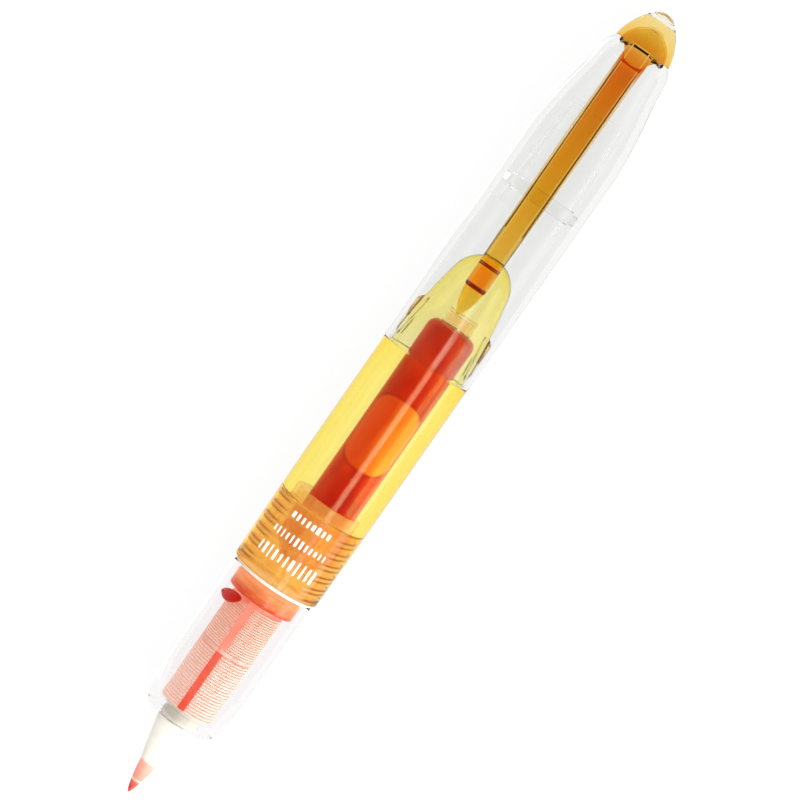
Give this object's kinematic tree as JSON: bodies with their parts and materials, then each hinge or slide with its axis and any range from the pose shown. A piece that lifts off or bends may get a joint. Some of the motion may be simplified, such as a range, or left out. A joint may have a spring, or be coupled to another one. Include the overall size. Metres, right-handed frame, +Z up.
{
  "type": "brush pen",
  "caption": "Refillable brush pen with a clear cap posted on its amber barrel, a clear grip, a finned ink collector and a fine brush nib.",
  "frame": {"origin": "middle of the pen's length and width, on the surface it lies on", "axes": "+X along the pen from the brush to the cap's end, +Z up through the clip, +Y across"},
  "size_m": [0.1322, 0.0142, 0.016],
  "materials": {
    "amber_plastic": "clear amber, polished",
    "clear_plastic": "water-clear, polished",
    "ivory_plastic": "ivory, satin",
    "collector_plastic": "milky translucent, stained pink",
    "orange_ink": "liquid ink, orange-red",
    "brush_fibre": "fine synthetic fibre, inked at the point",
    "wick_fibre": "bonded fibre soaked in ink",
    "seal_rubber": "translucent silicone, matt",
    "ball_plastic": "polished"
  },
  "bodies": {
    "barrel": {"barrel_shell": "amber_plastic"},
    "seal": {"section_seal": "seal_rubber"},
    "front": {"section_connector": "clear_plastic", "grip_section": "clear_plastic", "nib_holder": "ivory_plastic", "brush_sleeve": "clear_plastic", "brush_nib": "brush_fibre", "ink_wick": "wick_fibre", "collector": "collector_plastic", "reserve_ink": "orange_ink", "ink_spike": "clear_plastic"},
    "cartridge": {"cartridge_shell": "clear_plastic", "cartridge_ink": "orange_ink", "seal_ball": "ball_plastic"},
    "cap": {"cap_shell": "clear_plastic", "inner_cap": "clear_plastic", "clip_crown": "amber_plastic"},
    "clip": {"clip_arm": "amber_plastic"}
  },
  "joints": [
    {"name": "section_travel", "type": "slide", "parent": "barrel", "child": "seal", "axis": [-1, 0, 0], "range_m": [0, 0.00966]},
    {"name": "section_turn", "type": "hinge", "parent": "seal", "child": "front", "pos_m": [-0.02902, 0, 0.00705], "axis": [-1, 0, 0], "range_deg": [0, 1800]},
    {"name": "cartridge_pull", "type": "slide", "parent": "front", "child": "cartridge", "axis": [1, 0, 0], "range_m": [0, 0.0025]},
    {"name": "cap_pull", "type": "slide", "parent": "barrel", "child": "cap", "axis": [1, 0, 0], "range_m": [0, 0.03]},
    {"name": "clip_flex", "type": "hinge", "parent": "cap", "child": "clip", "pos_m": [0.05518, 0, 0.014], "axis": [0, 1, 0], "range_deg": [0, 4], "stiffness_Nm_per_rad": 0.3}
  ],
  "couplings": [
    {"joint": "section_travel", "follows": "section_turn", "m_per_rad": 0.00030717}
  ]
}
